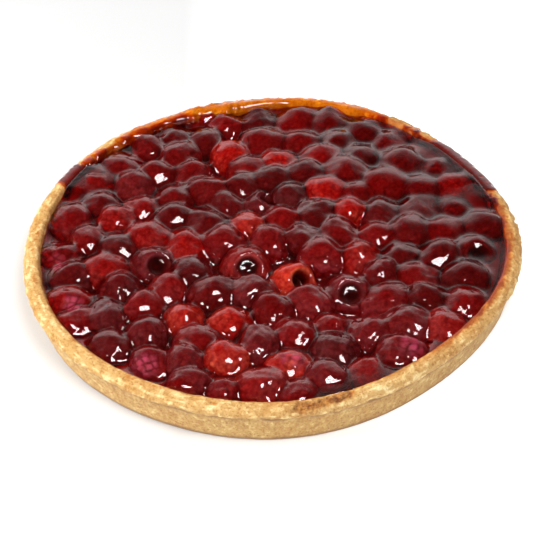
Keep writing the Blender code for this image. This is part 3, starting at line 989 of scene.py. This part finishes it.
def crust_material():
    made, tree, shader = new_material("baked_shortcrust")
    rim, amber, red = (attribute(tree, name) for name in ("rim", "amber", "red"))
    crumb = noise_node(tree, 0.0024, 5.0, roughness=0.7)
    streaks = noise_node(tree, 0.0019, 4.0, (1, 1, 0.55), 0.65)
    specks = noise_node(tree, 0.0011, 2.0)
    scorch = noise_node(tree, 0.0028, 4.0, roughness=0.7)
    colour = mixed(tree, rim, ramp(tree, streaks, CRUST_SIDE), ramp(tree, crumb, CRUST_TOP))
    colour = tinted(tree, colour, attribute(tree, "streak"), STREAKED, product(tree, rim, 0.5))
    colour = tinted(tree, colour, noise_node(tree, 0.014), TOASTED)
    colour = tinted(tree, colour, specks, FLECKED, 0.7)
    # Painted shade where the crust's relief dips.
    colour = tinted(tree, colour, attribute(tree, "relief"), DENT_SHADE, 0.8)
    colour = tinted(tree, colour, scorch, SCORCHED, attribute(tree, "torn"))
    # Painted shade in the crack below the lip and at the foot.
    colour = mixed(tree, attribute(tree, "shade"), colour, CRACK_SHADE_COLOUR)
    colour = tinted(tree, colour, amber, HONEYED)
    colour = tinted(tree, colour, red, REDDENED)
    colour = tinted(tree, colour, attribute(tree, "soaked"), SOAKED)
    wet = node(tree, "ShaderNodeMath", {0: amber, 1: red}, operation="ADD").outputs[0]
    gloss = mapped(tree, wet, 0.12, 0.45, 0.82, 0.07)
    dry = mapped(tree, wet, 0.05, 0.40, 1.0, 0.06)
    normal = bumped(tree, specks, 0.00025, dry, bumped(tree, crumb, 0.0006, dry))
    fill(tree, shader, {"Base Color": colour, "Roughness": gloss, "Normal": normal})
    return made


def raspberry_material():
    if "raspberry" in bpy.data.materials:
        return bpy.data.materials["raspberry"]
    made, tree, shader = new_material("raspberry")
    relief, mottle = attribute(tree, "relief"), noise_node(tree, 0.0018)
    colour = ramp(tree, attribute(tree, "tone"), BERRY_TONES)
    # Painted shade in the creases between the drupelets.
    colour = tinted(tree, colour, relief, CREASE_SHADE)
    colour = tinted(tree, colour, mottle, BERRY_MOTTLE)
    # The bare fruit's colour, with painted shade in its creases.
    colour = mixed(tree, attribute(tree, "bare"), colour, ramp(tree, relief, BARE_FRUIT_AND_CREASE_SHADE))
    # Painted shade inside the hollows.
    colour = mixed(tree, attribute(tree, "deep"), colour, HOLLOW_SHADE_COLOUR)
    values = {"Base Color": colour, "Roughness": 0.45, "Specular IOR Level": 0.15}
    fill(tree, shader, {**values, "Normal": bumped(tree, mottle, 0.0002)})
    return made


def core_material():
    made, tree, shader = new_material("filling_core")
    # Dark as painted shade between the berries, and lighter at the wall as painted light.
    colour = ramp(tree, noise_node(tree, 0.006), CORE_COLOURS)
    colour = mixed(tree, attribute(tree, "edge"), colour, CORE_WALL_LIGHT)
    fill(tree, shader, {"Base Color": colour, "Roughness": 0.5})
    return made


def jelly_material():
    """Clear set jelly: what takes the light out is a plain absorption."""
    made, tree, shader = new_material("red_jelly")
    normal = bumped(tree, noise_node(tree, 0.004, 2.0), 0.0004, 0.5)
    values = {"Base Color": (1.0, 0.9, 0.9, 1.0), "Roughness": 0.02, "IOR": 1.5, "Transmission Weight": 1.0}
    fill(tree, shader, {**values, "Normal": normal})
    values = {"Color": (*RED_JELLY, 1.0), "Density": JELLY_DENSITY}
    absorption = node(tree, "ShaderNodeVolumeAbsorption", values).outputs["Volume"]
    tree.links.new(absorption, tree.nodes["Material Output"].inputs["Volume"])
    return made


# ---- stage

CAMERA_ELEVATION = 40.16
CAMERA_ROLL = math.radians(-2.34)
CAMERA_DISTANCE = 1.10
CAMERA_AIM = (-0.0004, 0.0014, 0.0017)
LENS = 132.2
ROOM_LIGHT = 0.035
BACKDROP_LIGHT = 1.6
FLOOR_GLOW = 0.62
FLOOR_WHITE = 0.92
FLOOR_SEEN = (0.55, 1.0)  # left and right


def direction(azimuth, elevation):
    """Unit vector towards a place in the studio. Azimuth 0 is where the camera stands, 90 its right."""
    azimuth, elevation = math.radians(azimuth), math.radians(elevation)
    level = math.cos(elevation)
    return Vector((level * math.sin(azimuth), -level * math.cos(azimuth), math.sin(elevation)))


def facing(towards, roll=0.0):
    """Rotation of a camera or lamp that looks this way."""
    look = (-towards).to_track_quat("Z", "Y").to_matrix()
    return (look @ Matrix.Rotation(roll, 3, "Z")).to_euler()


def make_camera():
    camera = linked("camera", bpy.data.cameras.new("camera"))
    away = direction(0, CAMERA_ELEVATION)
    camera.location = Vector(CAMERA_AIM) + away * CAMERA_DISTANCE
    camera.rotation_euler = facing(-away, CAMERA_ROLL)
    camera.data.lens = LENS
    bpy.context.scene.camera = camera


def make_lamp(name, azimuth, elevation, distance, size, power, colour=WHITE):
    """A rectangular softbox aimed at the tart."""
    lamp = bpy.data.lights.new(name, "AREA")
    lamp.shape = "RECTANGLE"
    lamp.size, lamp.size_y = size
    lamp.energy = power
    lamp.color = colour
    placed = linked(name, lamp)
    away = direction(azimuth, elevation)
    placed.location = away * distance
    placed.rotation_euler = facing(-away)
    return placed


def make_stage():
    bpy.ops.mesh.primitive_plane_add(size=6.0, location=(0, 0, -0.0002))
    floor = bpy.context.active_object
    floor.name = "floor"
    floor.data.materials.append(floor_material())
    make_world()
    # The softbox is what the jelly mirrors, and the other two are what lights the tart.
    softbox = make_lamp("softbox", 27, 56, 1.5, (0.64, 0.54), 26, (1.0, 0.96, 0.97))
    softbox.visible_diffuse = softbox.visible_transmission = False
    key = make_lamp("key", 26, 58, 1.5, (0.58, 0.54), 20.5)
    soft = make_lamp("fill", -92, 44, 1.6, (1.2, 0.9), 42)
    key.visible_glossy = soft.visible_glossy = False
    bpy.context.scene.view_settings.view_transform = "Standard"


def floor_material():
    """White, glowing a little. Painted shade: the camera sees it darker than it is at the left, where it
    takes a
    shadow. Painted light: to the camera it glows a little more towards the right.
    """
    made, tree, shader = new_material("white_floor")
    seen = node(tree, "ShaderNodeLightPath").outputs["Is Camera Ray"]
    place = node(tree, "ShaderNodeTexCoord").outputs["Object"]
    across = node(tree, "ShaderNodeSeparateXYZ", {"Vector": place}).outputs["X"]
    left, right = FLOOR_SEEN
    shaded = mapped(tree, across, -0.05, 0.07, left, right)
    # Painted light: a glow that only the camera sees, most at the right.
    lift = mapped(tree, shaded, left, right, 0.0, 0.15)
    glow = node(tree, "ShaderNodeMix", {0: seen, 2: FLOOR_GLOW, 3: lift}).outputs[0]
    colour = mixed(tree, seen, [FLOOR_WHITE] * 3, shaded)
    fill(tree, shader, {"Base Color": colour, "Roughness": 0.9, "Specular IOR Level": 0.0})
    fill(tree, shader, {"Emission Color": (*WHITE, 1.0), "Emission Strength": glow})
    return made


def make_world():
    """White all round to the camera. As light, it is a dim room with a pale backdrop behind the tart,
    brightest low down and faded where level jelly mirrors it to the camera."""
    world = bpy.data.worlds.new("studio")
    world.use_nodes = True
    tree = world.node_tree
    way = node(tree, "ShaderNodeTexCoord").outputs["Generated"]
    parts = node(tree, "ShaderNodeSeparateXYZ", {"Vector": way}).outputs

    def faded(part, start, end, low=0.0):
        return mapped(tree, parts[part], start, end, low, 1.0, "SMOOTHSTEP")

    straight = product(tree, faded("X", -0.80, -0.35), faded("X", 0.80, 0.35))
    band = product(tree, faded("Z", 0.92, 0.16), faded("Z", 0.00, 0.25, 0.5))
    behind = product(tree, product(tree, band, faded("Y", 0.10, 0.50)), straight)
    glow = mapped(tree, behind, 0.0, 1.0, ROOM_LIGHT, BACKDROP_LIGHT)
    seen = node(tree, "ShaderNodeLightPath").outputs["Is Camera Ray"]
    strength = node(tree, "ShaderNodeMix", {0: seen, 2: glow, 3: 1.0}).outputs[0]
    values = {"Color": mixed(tree, seen, (1.0, 0.94, 0.94), WHITE), "Strength": strength}
    fill(tree, tree.nodes["Background"], values)
    bpy.context.scene.world = world


make_camera()
make_crust()
berries = laid_berries()
berry_points, berry_triangles = make_raspberries(berries)
make_core()
make_jelly(berries, berry_points, berry_triangles)
make_stage()
